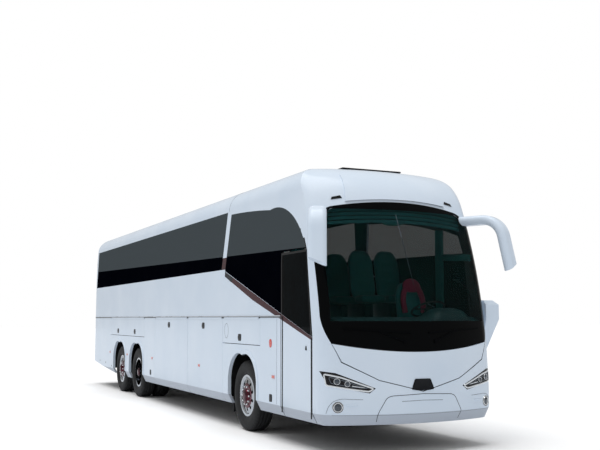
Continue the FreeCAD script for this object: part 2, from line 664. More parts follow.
def make_front():
    """Mask, windshield, service flap, bumper centre and front lamps, cut from one shell."""
    mask_region = side_prism(front_line()[:1] + [(nose + S.overrun, low), (nose + S.overrun, S.side_glass_nose)]
                             + front_line()[:0:-1], -far, far)
    mask = wall_shell.common(mask_region)
    screen = skin.common(ahead(screen_outline(0)))
    opening = ahead(screen_outline(S.glass_land))
    flap_hole = ahead(flap_outline(0))
    centre_hole = ahead(centre_outline(0))
    mask = mask.cut(screen).cut(opening).cut(flap_hole).cut(centre_hole)
    flap = wall_shell.common(ahead(flap_outline(S.seam)))
    for side in (RIGHT, LEFT):
        flap = flap.fuse(flap_lugs(side))
    centre = wall_shell.common(centre_hole)
    lamps = []
    for side in (RIGHT, LEFT):
        cutter = ahead(headlamp_outline(side))
        mask = mask.cut(cutter)
        depth = full_form.cut(full_form.translated(Vector(-float(S.headlamp_depth), 0, 0)))
        lamp = depth.common(cutter)
        lamps.append(max(lamp.Solids, key=lambda solid: solid.Volume))
        fog = rod(point(front_axle, side * S.fog_y, S.fog_z), Vector(1, 0, 0), S.fog_radius, S.front_overhang)
        mask = mask.cut(fog)
        fog_lamp = depth.common(fog)
        lamps.append(max(fog_lamp.Solids, key=lambda solid: solid.Volume))
    for height, reach in ((S.bracket_low, S.bracket_low_front), (S.bracket_high, S.bracket_high_front)):
        mask = mask.fuse(post_bracket(height, station(reach)).common(full_form)).cut(post_bore(height))
    feature("front_mask", solid_of(mask))
    feature("windshield", solid_of(screen))
    feature("service_flap", solid_of(flap))
    feature("bumper_centre", solid_of(centre))
    feature("front_lamps", Part.makeCompound(lamps))


def make_roof():
    cap_region = side_prism([(station(S.pillar_top_front), high)] + cap_line() + [(nose + S.overrun, high)], -far, far)
    cap = wall_shell.common(cap_region).cut(skin.common(ahead(screen_outline(0))))
    cap = cap.cut(ahead(screen_outline(S.glass_land)))
    feature("front_roof_cap", solid_of(cap.fuse(make_brow()).fuse(make_hatch())))
    roof_region = side_prism(rectangle(rear_post, station(S.pillar_top_front), S.cant_height, high), -far, far)
    feature("roof_panel", solid_of(wall_shell.common(roof_region)))


def make_brow():
    """Raised panel above the windshield, between the marker lamps, its root inside the cap's wall."""
    outline = [(-S.brow_half_width, S.brow_low), ("arc", 0, S.brow_low_middle), (S.brow_half_width, S.brow_low),
               (S.brow_top_half_width, S.brow_top), (-S.brow_top_half_width, S.brow_top)]
    outer = full_form.translated(Vector(float(S.brow_proud), 0, 0))
    inner = full_form.translated(Vector(-float(S.trim_root), 0, 0))
    return outer.common(ahead(outline)).cut(inner)


def make_hatch():
    """Escape hatch on the roof's front slope, with an overhanging lid, and the aerial fin ahead of it."""
    rear, front, half = station(S.hatch_rear), station(S.hatch_front), S.hatch_half_width
    seat = S.hatch_top - S.hatch_lid
    curb = box(rear + S.hatch_edge, front - S.hatch_edge, S.hatch_edge - half, half - S.hatch_edge, S.cant_height, seat)
    lid = box(rear, front, -half, half, seat, S.hatch_top)
    fin = side_prism([(station(S.fin_rear), S.cant_height), (station(S.fin_front), S.cant_height),
                      (station(S.fin_rear), S.fin_top)], S.fin_y, S.fin_y + S.fin_thickness)
    sunk = full_form.translated(Vector(0, 0, -float(S.trim_root)))
    return curb.fuse(lid).cut(sunk).fuse(fin.cut(sunk))


def wiper_strip(start, end, width):
    """Outline of a straight bar in YZ from start to end."""
    along = Vector(0, float(end[0] - start[0]), float(end[1] - start[1])).normalize()
    off = (-along.z * float(width) / 2, along.y * float(width) / 2)
    return [(float(start[0]) + off[0], float(start[1]) + off[1]), (float(end[0]) + off[0], float(end[1]) + off[1]),
            (float(end[0]) - off[0], float(end[1]) - off[1]), (float(start[0]) - off[0], float(start[1]) - off[1])]


def make_wipers():
    """Two wipers that follow the glass: a pivot cap, an arm, and a blade held at its middle."""
    outer = full_form.translated(Vector(float(S.wiper_depth), 0, 0))
    inner = full_form.translated(Vector(float(S.touch_gap), 0, 0))
    wipers = []
    for side in (RIGHT, LEFT):
        pivot = (side * S.wiper_pivot_y, S.wiper_pivot_z)
        inner_end = (side * S.wiper_inner_y, S.wiper_inner_z)
        outer_end = (side * S.wiper_outer_y, S.wiper_outer_z)
        middle = ((inner_end[0] + outer_end[0]) / 2, (inner_end[1] + outer_end[1]) / 2)
        cutter = ahead(wiper_strip(inner_end, outer_end, S.wiper_blade))
        cutter = cutter.fuse(ahead(wiper_strip(pivot, middle, S.wiper_arm)))
        cutter = cutter.fuse(rod(point(front_axle, *pivot), Vector(1, 0, 0), S.wiper_pivot_radius, S.front_overhang * 2))
        wiper = outer.common(cutter).cut(inner)
        wipers.append(max(wiper.Solids, key=lambda solid: solid.Volume))
    feature("wipers", Part.makeCompound(wipers))


def rear_rectangle(half, z0, z1):
    return front_prism([(-half, z0), (half, z0), (half, z1), (-half, z1)], tail - S.overrun, rear_post)


def make_rear():
    """Rear wall with its window, lamp recesses and engine opening, and the lid that closes it."""
    region = side_prism(rectangle(tail - S.overrun, rear_post, low, high), -far, far)
    wall = wall_shell.common(region)
    window = skin.common(rear_rectangle(S.rear_glass_half_width, S.rear_glass_bottom, S.rear_glass_top))
    land = S.glass_land
    wall = wall.cut(window).cut(rear_rectangle(S.rear_glass_half_width - land, S.rear_glass_bottom + land,
                                               S.rear_glass_top - land))
    wall = wall.cut(rear_rectangle(S.lid_half_width, S.lid_bottom, S.lid_top - S.rail_below))
    lid = wall_shell.common(rear_rectangle(S.lid_half_width - S.seam, S.lid_bottom + S.seam, S.lid_top
                                           - S.neck_gap))
    for index in range(int(float(S.louvre_count))):
        lid = lid.cut(louvre(S.louvre_low + S.louvre_pitch * index))
    lamps = []
    lamp_outer = half_width - S.rear_lamp_inset
    for side in (RIGHT, LEFT):
        recess = front_prism([(side * (lamp_outer - S.rear_lamp_width), S.rear_lamp_bottom),
                              (side * lamp_outer, S.rear_lamp_bottom), (side * lamp_outer, S.rear_lamp_top),
                              (side * (lamp_outer - S.rear_lamp_width), S.rear_lamp_top)],
                             tail - S.overrun, rear_post)
        lamps.append(wall_shell.common(recess))
        wall = wall.cut(recess)
    bow_depth = S.rear_rail_half * S.rear_rail_half / (2 * S.rear_bow_radius)
    rail, bead, slot = hinge_profiles(lambda out, up: point(float(rear_hinge) - out, -S.rear_rail_half,
                                                            float(S.lid_top) + up),
                                      point(0, 2 * S.rear_rail_half, 0), bow_depth + S.wall / 2)
    wall = wall.cut(slot)
    feature("rear_wall", solid_of(wall))
    feature("rear_lamps", Part.makeCompound([solid for lamp in lamps for solid in lamp.Solids]))
    feature("engine_lid", solid_of(lid.fuse(bead)))
    return window, rail


def louvre(height):
    """Slot through the engine lid that rises inwards, so that spray stays out."""
    outer, inner = tail - S.wall, tail + S.wall * 4
    corners = [(outer, height), (inner, height + S.louvre_rise), (inner, height + S.louvre_rise + S.louvre_height),
               (outer, height + S.louvre_height)]
    return side_prism(corners, -S.louvre_half_width, S.louvre_half_width)


rear_hinge = tail + S.rear_top_setback * (S.lid_top - S.rear_belt_height) / (S.cant_height - S.rear_belt_height)


def hinge_profiles(place, run, sink=S.neck_sink):
    """Rail with a C-shaped groove, the bead and neck that turn in it, and the slot the rail sits in.

    place(out, up) puts a section point; out is counted outwards from the panel's face, up from the rail's axis.
    """
    def face(corners):
        return outline_face(corners, place)

    def block(out0, out1, up0, up1):
        return face([(float(out0), float(up0)), (float(out1), float(up0)),
                     (float(out1), float(up1)), (float(out0), float(up1))]).extrude(run)

    def round_bar(radius):
        centre = place(float(S.bead_proud), 0)
        return Part.makeCylinder(float(radius), run.Length, centre, run)

    room = S.neck_thickness / 2 + S.neck_room
    body = block(-S.rail_depth, S.rail_proud, -S.rail_below, S.rail_above)
    rail = body.cut(round_bar(S.bead_radius + S.bead_clearance))
    rail = rail.cut(block(S.bead_proud - room, S.rail_proud + S.overrun, -S.overrun, room))
    bead = round_bar(S.bead_radius)
    neck = block(S.bead_proud - S.neck_thickness / 2, S.bead_proud + S.neck_thickness / 2,
                 -S.neck_gap - S.neck_foot, 0)
    foot = block(-sink, S.bead_proud + S.neck_thickness / 2, -S.neck_gap - S.neck_foot, -S.neck_gap)
    return rail, bead.fuse(neck).fuse(foot), body


def make_side_hinges(side):
    """The long rail of one side, and the hinge strips of its lids, all on one axis."""
    def place(x):
        return lambda out, up: point(x, side * (float(half_width) + out), float(S.rail_height) + up)

    rear, front = rear_post, station(S.door_rear) - S.door_seam
    rail, _, _ = hinge_profiles(place(rear), point(front - rear, 0, 0))
    strips = {}
    for name in LID_OPENINGS:
        x0 = station(LID_OPENINGS[name][0]) + S.rail_end
        x1 = station(LID_OPENINGS[name][1]) - S.rail_end
        _, strips[name], _ = hinge_profiles(place(x0), point(x1 - x0, 0, 0))
    return rail, strips


HANDLES = {
    "luggage_door_rear": [(S.handle_c, S.door_handle_z)],
    "luggage_door_front": [(S.handle_d, S.door_handle_z)],
    "wheel_flap_rear": [(S.handle_a, S.flap_handle_z), (S.handle_b, S.flap_handle_z)],
    "wheel_flap_front": [(S.handle_e, S.flap_handle_z)],
}


def handle_block(distance, height, side):
    """One flat pull handle on a lid."""
    x = station(distance)
    return box(x - S.handle_length / 2, x + S.handle_length / 2, side * (half_width - S.trim_root),
               side * (half_width + S.handle_proud), height - S.handle_height / 2, height + S.handle_height / 2)


def make_lids(side, strips):
    for name, strip in strips.items():
        rear, front, sill = LID_OPENINGS[name]
        outline = rectangle(station(rear) + S.seam / 2, station(front) - S.seam / 2,
                            sill + (S.seam if sill is not low else 0), S.rail_height - S.neck_gap)
        panel = wall_shell.common(side_prism(outline, *across(side))).fuse(strip)
        for distance, height in HANDLES[name]:
            panel = panel.fuse(handle_block(distance, height, side))
        if name == "luggage_door_front":
            panel = panel.fuse(marker_block(S.marker_door, side))
        feature(f"{name}_{SIDE_NAMES[side]}", solid_of(panel))


# Entrance door and its swing arm

def post_place(height):
    return point(station(S.post_station), -half_width + S.post_inset, height)


def pin_place(height):
    """The arm's outer pin: the arm lies rearwards, along the closed door."""
    return point(station(S.post_station) - S.door_arm_length, -half_width + S.post_inset, height)


def make_door():
    """Door leaf with its window, the lugs that take the arm's pins, and the pane."""
    outline = door_outline(0)
    leaf = wall_shell.common(side_prism(outline, *across(RIGHT)))
    front_room = side_prism(front_line() + [(rear_post, S.side_glass_nose), (rear_post, low)], *across(RIGHT))
    leaf = leaf.common(front_room)
    pane_zone = side_prism(front_glass_outline(), *across(RIGHT)).common(
        side_prism(rectangle(station(S.door_rear) + S.glass_land, nose, S.sash_front_height,
                             S.door_head - S.glass_land), *across(RIGHT)))
    pane = skin.common(pane_zone).common(leaf)
    leaf = leaf.cut(pane)
    land = S.glass_land
    hole = [(station(S.door_rear) + land * 3, sash_height(S.door_rear + land * 3) + land * 2),
            (station(S.door_rear) + land * 3, S.door_head - land * 3),
            (station(S.side_glass_front) - land * 6, S.door_head - land * 3),
            (station(S.sash_front_station) - land * 6, sash_height(S.sash_front_station - land * 6) + land * 2)]
    leaf = leaf.cut(side_prism(hole, *across(RIGHT)))
    lug_reach = S.post_inset - S.wall
    for height in (S.door_arm_low, S.door_arm_high):
        for up in (S.arm_height / 2 + S.touch_gap, -S.arm_height / 2 - S.touch_gap - S.arm_thickness / 2):
            centre = pin_place(height + up)
            lug = rod(centre, Vector(0, 0, 1), S.door_lug, S.arm_thickness / 2)
            plate = box(centre.x - float(S.door_lug), centre.x + float(S.door_lug),
                        centre.y, centre.y - float(lug_reach), centre.z,
                        centre.z + float(S.arm_thickness) / 2)
            bore = rod(centre - Vector(0, 0, float(S.arm_height)), Vector(0, 0, 1),
                       S.door_pin_radius + S.bearing_clearance, S.arm_height * 3)
            leaf = leaf.fuse(lug.fuse(plate).cut(bore))
    feature("entrance_door", solid_of(leaf))
    feature("entrance_door_glass", solid_of(pane))


def sash_height(distance):
    """Height of the sloping lower edge of the front side glass at a station."""
    run = S.sash_front_station - S.pillar_bottom_front
    return S.sash_rear_height - (distance - S.pillar_bottom_front) * (S.sash_rear_height - S.sash_front_height) / run


def make_door_arm():
    """Upright post on the step's edge, with two arms and the pins that carry the door."""
    foot = S.step_bottom + S.post_foot
    top = S.door_head - S.post_foot
    post = rod(post_place(foot), Vector(0, 0, 1), S.post_radius, top - foot)
    for height in (S.door_arm_low, S.door_arm_high):
        low_face = height - S.arm_height / 2
        start = post_place(low_face)
        end = pin_place(low_face)
        arm = box(end.x, start.x, start.y - float(S.arm_thickness) / 2, start.y + float(S.arm_thickness) / 2,
                  low_face, low_face + S.arm_height)
        pin = rod(pin_place(low_face - S.arm_thickness / 2), Vector(0, 0, 1), S.door_pin_radius,
                  S.arm_height + S.arm_thickness)
        eye = rod(end, Vector(0, 0, 1), S.door_lug, S.arm_height)
        post = post.fuse(arm).fuse(eye).fuse(pin)
    feature("door_arm", solid_of(post))


def post_bracket(height, front):
    """Plate on the front mask's inner side that takes the door post."""
    edge = S.post_radius + S.bracket_edge
    centre = post_place(height)
    plate = box(station(S.post_station), front, -half_width, centre.y + float(edge), height,
                height + S.bracket_thickness)
    behind = box(low, front, -far, -inner_face + S.seam, height - S.seam, height + S.bracket_thickness + S.seam)
    behind = behind.common(side_prism([(low, low), (low, high)] + [(x + S.seam, z) for x, z in front_line()[::-1]],
                                      -far, far))
    return plate.fuse(rod(centre, Vector(0, 0, 1), edge, S.bracket_thickness)).cut(behind)


def post_bore(height):
    return rod(post_place(height - S.seam), Vector(0, 0, 1), S.post_radius + S.pin_clearance,
               S.bracket_thickness + S.seam * 2)


# Service flap: two lifting arms pivoted on the front bulkhead keep it upright as it swings out

def lift_pivot(y):
    return point(station(S.lift_pivot_station), y, S.lift_pivot_height)


def lift_end(y):
    """The arm's lower pin; the arm leans back a little, so that the flap dips before it rises."""
    lean = math.radians(float(S.lift_arm_lean))
    length = float(S.lift_arm_length)
    return lift_pivot(y) - Vector(length * math.sin(lean), 0, length * math.cos(lean))


def lug_plates(side, centre_of, reach):
    """Two plates either side of an arm's eye, with their pin hole, reaching along X to a seat."""
    plates = None
    for inner in (S.lift_arm_thickness / 2 + S.moving_gap,
                  -S.lift_arm_thickness / 2 - S.moving_gap - S.lift_lug_thickness):
        y = side * S.lift_arm_y + inner
        centre = centre_of(y)
        plate = rod(centre, Vector(0, 1, 0), S.lift_eye_radius, S.lift_lug_thickness)
        plate = plate.fuse(box(centre.x, reach, y, y + S.lift_lug_thickness, centre.z - float(S.lift_eye_radius),
                               centre.z + float(S.lift_eye_radius)))
        plates = plate if plates is None else plates.fuse(plate)
    bore = rod(centre_of(side * S.lift_arm_y - S.lift_eye_radius * 2), Vector(0, 1, 0),
               S.lift_pin_radius + S.pin_clearance, S.lift_eye_radius * 4)
    return plates.cut(bore)


def flap_lugs(side):
    """Lugs on the flap's inner face, ended inside its wall."""
    bow_depth = S.lift_arm_y * S.lift_arm_y / (2 * S.bow_radius)
    return lug_plates(side, lift_end, nose - bow_depth - S.wall / 2)


def make_lift_arms():
    """Both arms with their pins, joined by the tube along the pivots."""
    thick = S.lift_arm_thickness
    span = thick / 2 + S.moving_gap + S.lift_lug_thickness
    arms = rod(lift_pivot(-S.lift_arm_y), Vector(0, 1, 0), S.lift_pin_radius, 2 * S.lift_arm_y)
    between = S.lift_arm_y - thick / 2 - S.moving_gap * 2 - S.lift_lug_thickness
    arms = arms.fuse(rod(lift_pivot(-between), Vector(0, 1, 0), S.lift_tube_radius, 2 * between))
    for side in (RIGHT, LEFT):
        y = side * S.lift_arm_y
        pivot, end = lift_pivot(y - thick / 2), lift_end(y - thick / 2)
        arm = box(pivot.x - float(S.lift_tube_radius), pivot.x + float(S.lift_tube_radius), pivot.y,
                  pivot.y + float(thick), pivot.z - float(S.lift_arm_length), pivot.z)
        arm.rotate(pivot, Vector(0, 1, 0), float(S.lift_arm_lean))
        for centre, centre_of in ((pivot, lift_pivot), (end, lift_end)):
            arm = arm.fuse(rod(centre, Vector(0, 1, 0), S.lift_eye_radius, thick))
            arm = arm.fuse(rod(centre_of(y - span), Vector(0, 1, 0), S.lift_pin_radius, 2 * span))
        arms = arms.fuse(arm)
    feature("flap_arms", solid_of(arms.removeSplitter()))


def make_front_bulkhead():
    """Plate across the ends of the frame rails, with the lugs that carry the lifting arms."""
    x = station(S.bulkhead_station)
    plate = box(x, x + S.bulkhead_plate, -S.bulkhead_half, S.bulkhead_half, S.bulkhead_bottom, S.dash_under)
    for side in (RIGHT, LEFT):
        plate = plate.fuse(lug_plates(side, lift_pivot, x + S.bulkhead_plate / 2))
    feature("front_bulkhead", solid_of(plate))


# Sketch-based pieces

def new_body(label):
    return doc.addObject("PartDesign::Body", label)


def origin_plane(body, role):
    return next(item for item in body.Origin.OriginFeatures if item.Role == role)


def polygon_sketch(body, role, corners):
    """A closed polygon on an origin plane, each corner placed by two bound dimensions."""
    sketch = body.newObject("Sketcher::SketchObject", "Outline")
    sketch.AttachmentSupport = [(origin_plane(body, role), "")]
    sketch.MapMode = "FlatFace"
    corners = [(Measure.of(a), Measure.of(b)) for a, b in corners]
    for (a, b), (c, d) in zip(corners, corners[1:] + corners[:1]):
        sketch.addGeometry(Part.LineSegment(Vector(a.value, b.value, 0), Vector(c.value, d.value, 0)))
    count = len(corners)
    for index in range(count):
        sketch.addConstraint(Sketcher.Constraint("Coincident", index, 2, (index + 1) % count, 1))
    for index, pair in enumerate(corners):
        for kind, measure in zip(("DistanceX", "DistanceY"), pair):
            bind_place(sketch, kind, index, measure)
    return sketch


def bind_place(sketch, kind, index, measure):
    """Fixes the start of one line against the sketch's origin; zero lies on the axis itself."""
    if measure.value == 0:
        axis = -2 if kind == "DistanceX" else -1
        sketch.addConstraint(Sketcher.Constraint("PointOnObject", index, 1, axis))
        return
    number = sketch.addConstraint(Sketcher.Constraint(kind, -1, 1, index, 1, measure.value))
    sketch.setExpression(f"Constraints[{number}]", measure.text)


def pad(body, sketch, length, midplane=False, reverse=False):
    solid = body.newObject("PartDesign::Pad", "Pad")
    solid.Profile = sketch
    solid.setExpression("Length", Measure.of(length).text)
    solid.Midplane = midplane
    solid.Reversed = reverse
    sketch.Visibility = False
    return solid


def pocket_through(body, sketch):
    cut = body.newObject("PartDesign::Pocket", "Pocket")
    cut.Profile = sketch
    cut.Type = "ThroughAll"
    cut.Midplane = True
    return cut


def revolve(body, sketch, axis="H_Axis"):
    solid = body.newObject("PartDesign::Revolution", "Revolution")
    solid.Profile = sketch
    solid.ReferenceAxis = (sketch, [axis])
    solid.Angle = 360
    return solid


def move(thing, x=0, y=0, z=0):
    """Places a piece; each bound coordinate follows the sheet."""
    for axis, measure in zip("xyz", (x, y, z)):
        measure = Measure.of(measure)
        thing.setExpression(f"Placement.Base.{axis}", measure.text)


def make_tyre(node, centre, y, twin=False):
    """Ring with bulged sidewalls, drawn in the plane of the axle and turned about it."""
    body = new_body(node)
    half = S.tyre_width / 2
    seat = S.rim_width / 2 - S.flange_width
    bulge = S.rim_radius + (S.tyre_radius - S.rim_radius) * half_share
    lip = S.rim_radius + S.rim_flange + S.touch_gap
    corners = [(-seat, S.rim_radius), (-seat, lip), (-half, bulge), (-half + S.tyre_sidewall_bulge / 2,
               S.tyre_radius - S.tyre_shoulder), (-half + S.tyre_shoulder, S.tyre_radius),
               (half - S.tyre_shoulder, S.tyre_radius), (half - S.tyre_sidewall_bulge / 2,
               S.tyre_radius - S.tyre_shoulder), (half, bulge), (seat, lip), (seat, S.rim_radius)]
    revolve(body, polygon_sketch(body, "YZ_Plane", corners))
    move(body, centre, y, hub_height)
    return body


def barrel_top(middle):
    """Outer contour of a rim's barrel with its two flanges, from inboard to outboard."""
    half = S.rim_width / 2
    flange = S.rim_radius + S.rim_flange
    return [(middle - half, flange), (middle - half + S.flange_width, flange),
            (middle - half + S.flange_width, S.rim_radius), (middle + half - S.flange_width, S.rim_radius),
            (middle + half - S.flange_width, flange), (middle + half, flange)]


def signed(corners, side):
    return [(side * Measure.of(a), b) for a, b in corners]


def make_single_rim(node, centre, y, side):
    """Rim with a convex disc near its outer edge and a hub that stands out of it."""
    body = new_body(node)
    half = S.rim_width / 2
    inner = S.rim_radius - S.rim_wall
    disc = half - S.disc_thickness
    bore = S.spindle_radius + S.bearing_clearance
    circle = S.hand_hole_circle
    ridge = circle - S.hand_hole_radius * 2
    corners = barrel_top(Measure.of(0)) + [
        (half, inner), (disc, inner - S.disc_thickness), (disc + S.disc_bulge, ridge),
        (disc + S.disc_bulge, S.hub_radius), (S.hub_out, S.hub_radius - S.disc_bulge), (S.hub_out, 0),
        (S.hub_out - S.disc_thickness, 0), (S.hub_out - S.disc_thickness, bore),
        (disc - S.hub_length, bore), (disc - S.hub_length, S.hub_radius - S.disc_bulge),
        (disc + S.disc_bulge - S.disc_thickness, S.hub_radius - S.disc_bulge),
        (disc + S.disc_bulge - S.disc_thickness, ridge),
        (disc - S.disc_thickness, inner), (-half, inner)]
    revolve(body, polygon_sketch(body, "YZ_Plane", signed(corners, side)))
    cut_hand_holes(body, circle)
    move(body, centre, y, hub_height)
    return body


def make_twin_rim(node, centre, y, side):
    """Two barrels whose discs lie face to face between the tyres, with a long hub outwards."""
    body = new_body(node)
    half = S.rim_width / 2
    inner = S.rim_radius - S.rim_wall
    bore = S.spindle_radius + S.bearing_clearance
    meet = -S.twin_spacing / 2
    ridge = S.hand_hole_circle - S.hand_hole_radius
    corners = barrel_top(-S.twin_spacing) + barrel_top(Measure.of(0)) + [
        (half, inner), (meet + S.twin_disc * 2, inner), (meet + S.disc_thickness, ridge),
        (meet + S.disc_thickness, S.hub_radius), (half, S.hub_radius - S.disc_bulge), (half, 0),
        (half - S.disc_thickness, 0), (half - S.disc_thickness, bore),
        (meet - S.hub_length, bore), (meet - S.hub_length, S.hub_radius),
        (meet - S.disc_thickness, S.hub_radius), (meet - S.disc_thickness, ridge),
        (meet - S.twin_disc * 2, inner), (-S.twin_spacing - half, inner)]
    revolve(body, polygon_sketch(body, "YZ_Plane", signed(corners, side)))
    cut_hand_holes(body, S.hand_hole_circle + S.hand_hole_radius)
    move(body, centre, y, hub_height)
    return body


def cut_hand_holes(body, circle):
    """One round hand hole through the disc, repeated about the axle."""
    sketch = body.newObject("Sketcher::SketchObject", "HandHole")
    sketch.AttachmentSupport = [(origin_plane(body, "XZ_Plane"), "")]
    sketch.MapMode = "FlatFace"
    ring = sketch.addGeometry(Part.Circle(Vector(0, float(circle), 0), Vector(0, 0, 1), float(S.hand_hole_radius)))
    sketch.addConstraint(Sketcher.Constraint("PointOnObject", ring, 3, -2))
    bind_circle(sketch, ring, circle)
    cut = pocket_through(body, sketch)
    pattern = body.newObject("PartDesign::PolarPattern", "HandHoles")
    pattern.Originals = [cut]
    pattern.Axis = (origin_plane(body, "Y_Axis"), [""])
    pattern.Angle = 360
    pattern.setExpression("Occurrences", S.hand_holes.text)
    body.Tip = pattern


def bind_circle(sketch, ring, circle):
    number = sketch.addConstraint(Sketcher.Constraint("DistanceY", -1, 1, ring, 3, float(circle)))
    sketch.setExpression(f"Constraints[{number}]", Measure.of(circle).text)
    number = sketch.addConstraint(Sketcher.Constraint("Radius", ring, float(S.hand_hole_radius)))
    sketch.setExpression(f"Constraints[{number}]", S.hand_hole_radius.text)


def twin_of(first, second, node):
    """Two like solids that share a node."""
    pair = doc.addObject("Part::Compound", node)
    pair.Links = [first, second]
    return pair


def make_wheels():
    for side in (RIGHT, LEFT):
        name = SIDE_NAMES[side]
        for axle, centre, y in (("front", front_axle, S.front_tyre_y), ("tag", tag_axle, S.tag_tyre_y)):
            keep(f"{axle}_tyre_{name}", make_tyre(f"{axle}_tyre_{name}", centre, side * y))
            keep(f"{axle}_rim_{name}", make_single_rim(f"{axle}_rim_{name}", centre, side * y, side))
        outer = make_tyre("OuterTyre", drive_axle, side * S.outer_tyre_y)
        inner = make_tyre("InnerTyre", drive_axle, side * (S.outer_tyre_y - S.twin_spacing))
        keep(f"drive_tyres_{name}", twin_of(outer, inner, f"drive_tyres_{name}"))
        keep(f"drive_rims_{name}", make_twin_rim(f"drive_rims_{name}", drive_axle, side * S.outer_tyre_y, side))


# Axles, knuckles and structure below the floor

def make_axle_beams():
    """Front beam with kingpin eyes, drive axle with its differential, tag axle; spindles at their ends."""
    top = hub_height - S.beam_clear
    low_face = top - S.beam_width
    beam = box(front_axle - S.beam_width / 2, front_axle + S.beam_width / 2,
               -(S.kingpin_y - S.knuckle_lug), S.kingpin_y - S.knuckle_lug, low_face, top)
    for side in (RIGHT, LEFT):
        place = point(front_axle, side * S.kingpin_y, low_face)
        eye = rod(place, Vector(0, 0, 1), S.beam_width / 2, top - low_face)
        bore = rod(place, Vector(0, 0, 1), S.kingpin_radius + S.bearing_clearance, top - low_face)
        beam = beam.fuse(eye).cut(bore)
    drive = rear_axle(drive_axle, S.outer_tyre_y - S.twin_spacing, S.outer_tyre_y + S.rim_width / 2)
    ball = rod(point(drive_axle, -S.diff_length / 2, hub_height), Vector(0, 1, 0), S.diff_radius, S.diff_length)
    drive = drive.fuse(ball.makeChamfer(float(S.diff_radius / 3), ball.Edges[:1] + ball.Edges[2:3]))
    tag = rear_axle(tag_axle, S.tag_tyre_y, S.tag_tyre_y + S.hub_out)
    feature("axle_beams", Part.makeCompound([beam, drive.removeSplitter(), tag]))


def rear_axle(centre, inner_tyre_y, hub_end):
    """Tube between the wheels and a spindle through each hub."""
    tube_half = inner_tyre_y - S.tyre_width / 2 - S.seam
    start = point(centre, -tube_half, hub_height)
    tube = rod(start, Vector(0, 1, 0), S.axle_tube_radius, tube_half * 2)
    end = hub_end - S.disc_thickness - S.seam
    return tube.fuse(rod(point(centre, -end, hub_height), Vector(0, 1, 0), S.spindle_radius, end * 2))


def make_knuckle(side):
    """Yoke round the beam's eye with the kingpin through it, and the wheel's spindle."""
    top = hub_height - S.beam_clear
    low_face = top - S.beam_width
    plate_in = S.kingpin_y + S.beam_width / 2 + S.knuckle_gap
    plate_out = plate_in + S.yoke_plate
    lug_height = S.knuckle_lug
    lower = low_face - S.knuckle_gap / 2 - lug_height
    upper = top + S.knuckle_gap / 2
    half = S.beam_width / 2
    knuckle = box(front_axle - half, front_axle + half, side * plate_in, side * plate_out,
                  lower, hub_height + S.beam_width)
    for height in (lower, upper):
        place = point(front_axle, side * S.kingpin_y, height)
        lug = rod(place, Vector(0, 0, 1), half, lug_height)
        link = box(front_axle - half, front_axle + half, side * S.kingpin_y, side * plate_in,
                   height, height + lug_height)
        knuckle = knuckle.fuse(lug).fuse(link)
    pin = rod(point(front_axle, side * S.kingpin_y, lower), Vector(0, 0, 1), S.kingpin_radius,
              upper + lug_height - lower)
    spindle_end = S.front_tyre_y + S.hub_out - S.disc_thickness - S.seam
    spindle = rod(point(front_axle, side * plate_out, hub_height), Vector(0, side, 0), S.spindle_radius,
                  spindle_end - plate_out)
    feature(f"steering_knuckle_{SIDE_NAMES[side]}", solid_of(knuckle.fuse(pin).fuse(spindle)))


def make_air_springs():
    """Bellows between the axles and the frame rails."""
    springs = []
    y = S.frame_spacing / 2
    seats = ((front_axle, hub_height - S.beam_clear), (drive_axle, hub_height + S.axle_tube_radius),
             (tag_axle, hub_height + S.axle_tube_radius))
    for centre, seat in seats:
        for side in (RIGHT, LEFT):
            springs.append(rod(point(centre, side * y, seat), Vector(0, 0, 1), S.bellows_radius,
                               S.frame_rail_bottom - seat))
    feature("air_springs", Part.makeCompound(springs))


def make_chassis():
    """Rails and cross members ahead of the luggage hold, and behind it."""
    parts = []
    hold_front = station(S.bay_front) + S.seam
    hold_rear = station(S.bay_rear) - S.seam
    spans = ((hold_front + S.bulkhead, station(S.frame_front)),
             (tail + S.frame_rear_gap, hold_rear - S.bulkhead))
    for rear, front in spans:
        frame = None
        for side in (RIGHT, LEFT):
            y = side * S.frame_spacing / 2
            rail = box(rear, front, y - S.frame_rail_width / 2, y + S.frame_rail_width / 2,
                       S.frame_rail_bottom, S.frame_rail_bottom + S.frame_rail_height)
            frame = rail if frame is None else frame.fuse(rail)
        bays = max(2, round((float(front) - float(rear)) / float(S.tag_spacing)))
        for index in range(bays + 1):
            x = float(rear) + (float(front) - float(rear) - float(S.crossmember_width)) * index / bays
            if float(tail + S.engine_rear_gap) - x < float(S.crossmember_width) and x < float(
                    tail + S.engine_rear_gap + S.engine_length):
                continue
            frame = frame.fuse(box(x, x + float(S.crossmember_width), -S.frame_spacing / 2, S.frame_spacing / 2,
                                   S.frame_rail_bottom, S.frame_rail_bottom + S.frame_rail_height / 2))
        tow_x = front if float(front) > float(front_axle) else rear + S.crossmember_width
        bore = rod(point(tow_x - S.crossmember_width / 2, 0, S.frame_rail_bottom), Vector(0, 0, 1),
                   S.tow_pin_radius, S.frame_rail_height)
        parts.append(jack_pads(frame, rear, front).removeSplitter().cut(bore))
    feature("chassis_frame", Part.makeCompound(parts))


def jack_pads(frame, rear, front):
    """Square pads under both rails, where a jack or an axle stand lifts this part of the frame."""
    for middle in (station(S.jack_front_station), station(S.jack_rear_station)):
        if not float(rear) < float(middle) < float(front):
            continue
        for side in (RIGHT, LEFT):
            y = side * S.frame_spacing / 2
            frame = frame.fuse(box(middle - S.jack_pad / 2, middle + S.jack_pad / 2, y - S.jack_pad / 2,
                                   y + S.jack_pad / 2, S.frame_rail_bottom - S.jack_pad_depth,
                                   S.frame_rail_bottom))
    return frame


